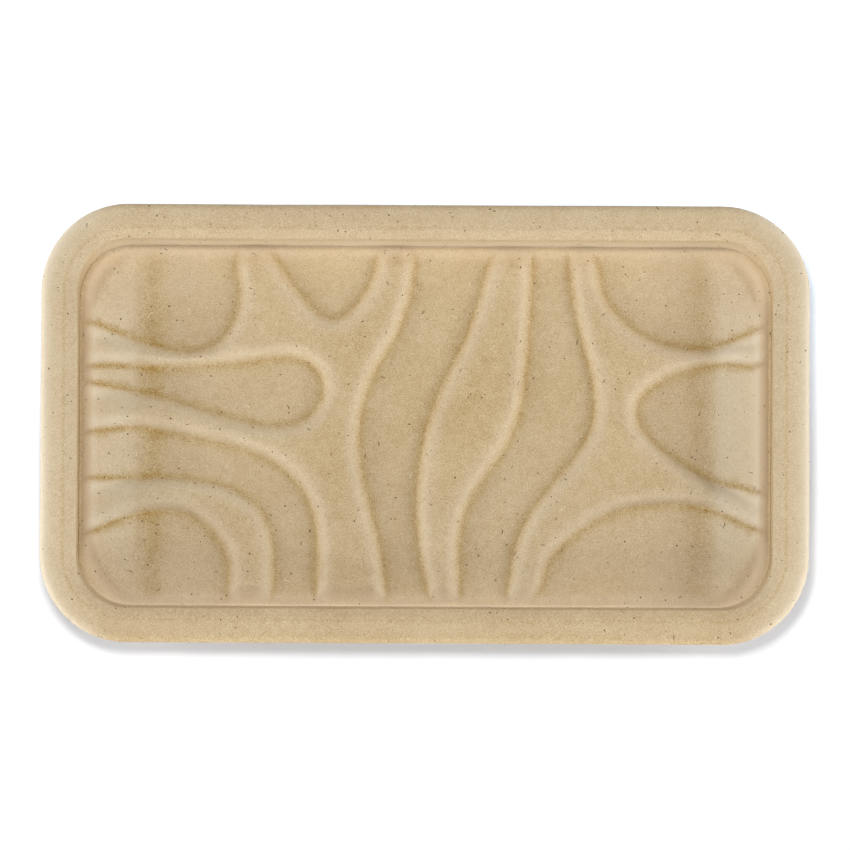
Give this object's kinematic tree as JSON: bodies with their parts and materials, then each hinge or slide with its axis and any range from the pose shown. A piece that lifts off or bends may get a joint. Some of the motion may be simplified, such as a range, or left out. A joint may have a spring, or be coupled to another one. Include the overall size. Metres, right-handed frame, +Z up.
{
  "type": "fiber meat tray",
  "caption": "Shallow rounded-rectangle moulded pulp tray with a flat turned-down rim, a drain channel round the floor and raised curved ribs between low pockets.",
  "frame": {"origin": "middle of the plane that the tray stands on, under the centre of its outline", "axes": "+X along the tray's length, +Y along its width, +Z up out of its open side"},
  "size_m": [0.21, 0.12, 0.014],
  "materials": {
    "pulp": "matt natural moulded fibre with dark flecks"
  },
  "bodies": {
    "root": {"tray": "pulp"}
  },
  "joints": []
}
